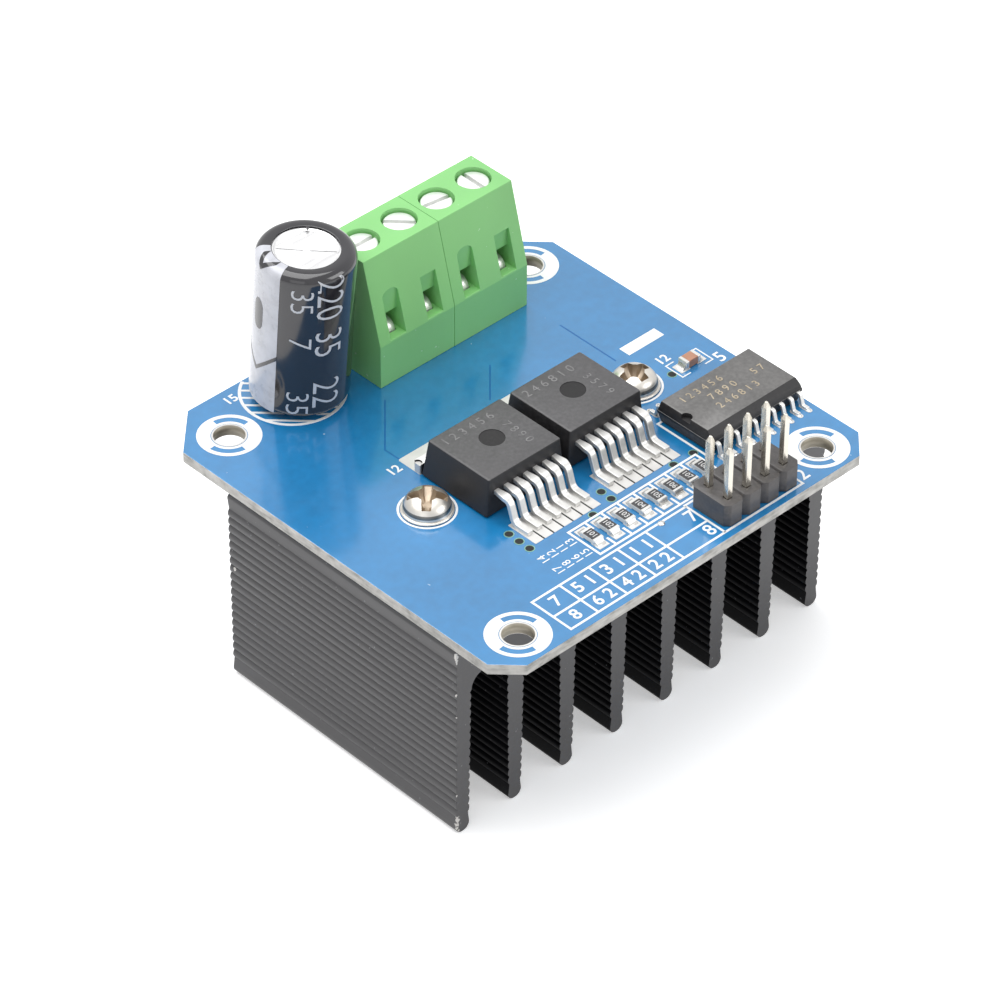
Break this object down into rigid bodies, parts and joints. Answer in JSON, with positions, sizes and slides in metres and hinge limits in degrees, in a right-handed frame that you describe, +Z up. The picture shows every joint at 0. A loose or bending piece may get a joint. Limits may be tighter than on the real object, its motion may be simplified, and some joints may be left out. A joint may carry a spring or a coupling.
{
  "type": "dc motor driver module",
  "caption": "Motor driver circuit board with power driver chips, screw terminals, a capacitor and a pin header, screwed onto a black finned heatsink.",
  "frame": {"origin": "middle of the footprint, on the surface that the fin tips stand on", "axes": "+X along the pin header's edge, +Y towards the screw terminals, +Z up out of the board"},
  "size_m": [0.05, 0.05, 0.0427],
  "materials": {
    "anodised_black": "black anodised, extruded, satin",
    "thermal_pad_grey": "matt",
    "board_blue": "glass-fibre board under blue solder mask, slightly glossy",
    "nickel": "nickel plated",
    "chip_black": "moulded, matt",
    "tinned": "tin plated, satin",
    "resistor_black": "glazed body with tinned ends",
    "ceramic_brown": "ceramic body with tinned ends",
    "aluminium": "bright, drawn",
    "sleeve_black": "shrink film, glossy",
    "green_plastic": "moulded, satin",
    "zinc": "zinc plated, bright",
    "header_black": "moulded, matt",
    "pin_metal": "tin plated brass, bright"
  },
  "bodies": {
    "module": {"heatsink": "anodised_black", "thermal_pad": "thermal_pad_grey", "circuit_board": "board_blue", "heatsink_screw_left": "nickel", "heatsink_screw_right": "nickel", "driver_body_left": "chip_black", "driver_body_right": "chip_black", "logic_chip": "chip_black", "driver_tab_left": "tinned", "driver_tab_right": "tinned", "driver_lead_left_1": "tinned", "driver_lead_left_2": "tinned", "driver_lead_left_3": "tinned", "driver_lead_left_4": "tinned", "driver_lead_left_5": "tinned", "driver_lead_left_6": "tinned", "driver_lead_left_7": "tinned", "driver_lead_right_1": "tinned", "driver_lead_right_2": "tinned", "driver_lead_right_3": "tinned", "driver_lead_right_4": "tinned", "driver_lead_right_5": "tinned", "driver_lead_right_6": "tinned", "driver_lead_right_7": "tinned", "resistor_1": "resistor_black", "resistor_2": "resistor_black", "resistor_3": "resistor_black", "resistor_4": "resistor_black", "resistor_5": "resistor_black", "resistor_6": "resistor_black", "resistor_7": "resistor_black", "resistor_8": "resistor_black", "ceramic_capacitor": "ceramic_brown", "capacitor_can": "aluminium", "capacitor_sleeve": "sleeve_black", "capacitor_lead_1": "tinned", "capacitor_lead_2": "tinned", "terminal_housing_left": "green_plastic", "terminal_housing_right": "green_plastic", "terminal_pin_1": "tinned", "terminal_pin_2": "tinned", "terminal_pin_3": "tinned", "terminal_pin_4": "tinned", "header_base": "header_black", "header_pin_1": "pin_metal", "header_pin_2": "pin_metal", "header_pin_3": "pin_metal", "header_pin_4": "pin_metal", "header_pin_5": "pin_metal", "header_pin_6": "pin_metal", "header_pin_7": "pin_metal", "header_pin_8": "pin_metal"},
    "clamp_screw_1": {"clamp_screw_1": "zinc"},
    "clamp_cage_1": {"clamp_cage_1": "zinc"},
    "clamp_screw_2": {"clamp_screw_2": "zinc"},
    "clamp_cage_2": {"clamp_cage_2": "zinc"},
    "clamp_screw_3": {"clamp_screw_3": "zinc"},
    "clamp_cage_3": {"clamp_cage_3": "zinc"},
    "clamp_screw_4": {"clamp_screw_4": "zinc"},
    "clamp_cage_4": {"clamp_cage_4": "zinc"}
  },
  "joints": [
    {"name": "clamp_screw_1_turn", "type": "hinge", "parent": "module", "child": "clamp_screw_1", "pos_m": [-0.0018, 0.01985, 0.02442], "axis": [0, 0, -1], "range_deg": [0, 2520.5]},
    {"name": "clamp_cage_1_lift", "type": "slide", "parent": "module", "child": "clamp_cage_1", "axis": [0, 0, 1], "range_m": [0, 0.00315]},
    {"name": "clamp_screw_2_turn", "type": "hinge", "parent": "module", "child": "clamp_screw_2", "pos_m": [0.0032, 0.01985, 0.02442], "axis": [0, 0, -1], "range_deg": [0, 2520.5]},
    {"name": "clamp_cage_2_lift", "type": "slide", "parent": "module", "child": "clamp_cage_2", "axis": [0, 0, 1], "range_m": [0, 0.00315]},
    {"name": "clamp_screw_3_turn", "type": "hinge", "parent": "module", "child": "clamp_screw_3", "pos_m": [0.0082, 0.01985, 0.02442], "axis": [0, 0, -1], "range_deg": [0, 2520.5]},
    {"name": "clamp_cage_3_lift", "type": "slide", "parent": "module", "child": "clamp_cage_3", "axis": [0, 0, 1], "range_m": [0, 0.00315]},
    {"name": "clamp_screw_4_turn", "type": "hinge", "parent": "module", "child": "clamp_screw_4", "pos_m": [0.0132, 0.01985, 0.02442], "axis": [0, 0, -1], "range_deg": [0, 2520.5]},
    {"name": "clamp_cage_4_lift", "type": "slide", "parent": "module", "child": "clamp_cage_4", "axis": [0, 0, 1], "range_m": [0, 0.00315]}
  ],
  "couplings": [
    {"joint": "clamp_screw_1_turn", "follows": "clamp_cage_1_lift", "rad_per_m": 13963},
    {"joint": "clamp_screw_2_turn", "follows": "clamp_cage_2_lift", "rad_per_m": 13963},
    {"joint": "clamp_screw_3_turn", "follows": "clamp_cage_3_lift", "rad_per_m": 13963},
    {"joint": "clamp_screw_4_turn", "follows": "clamp_cage_4_lift", "rad_per_m": 13963}
  ]
}
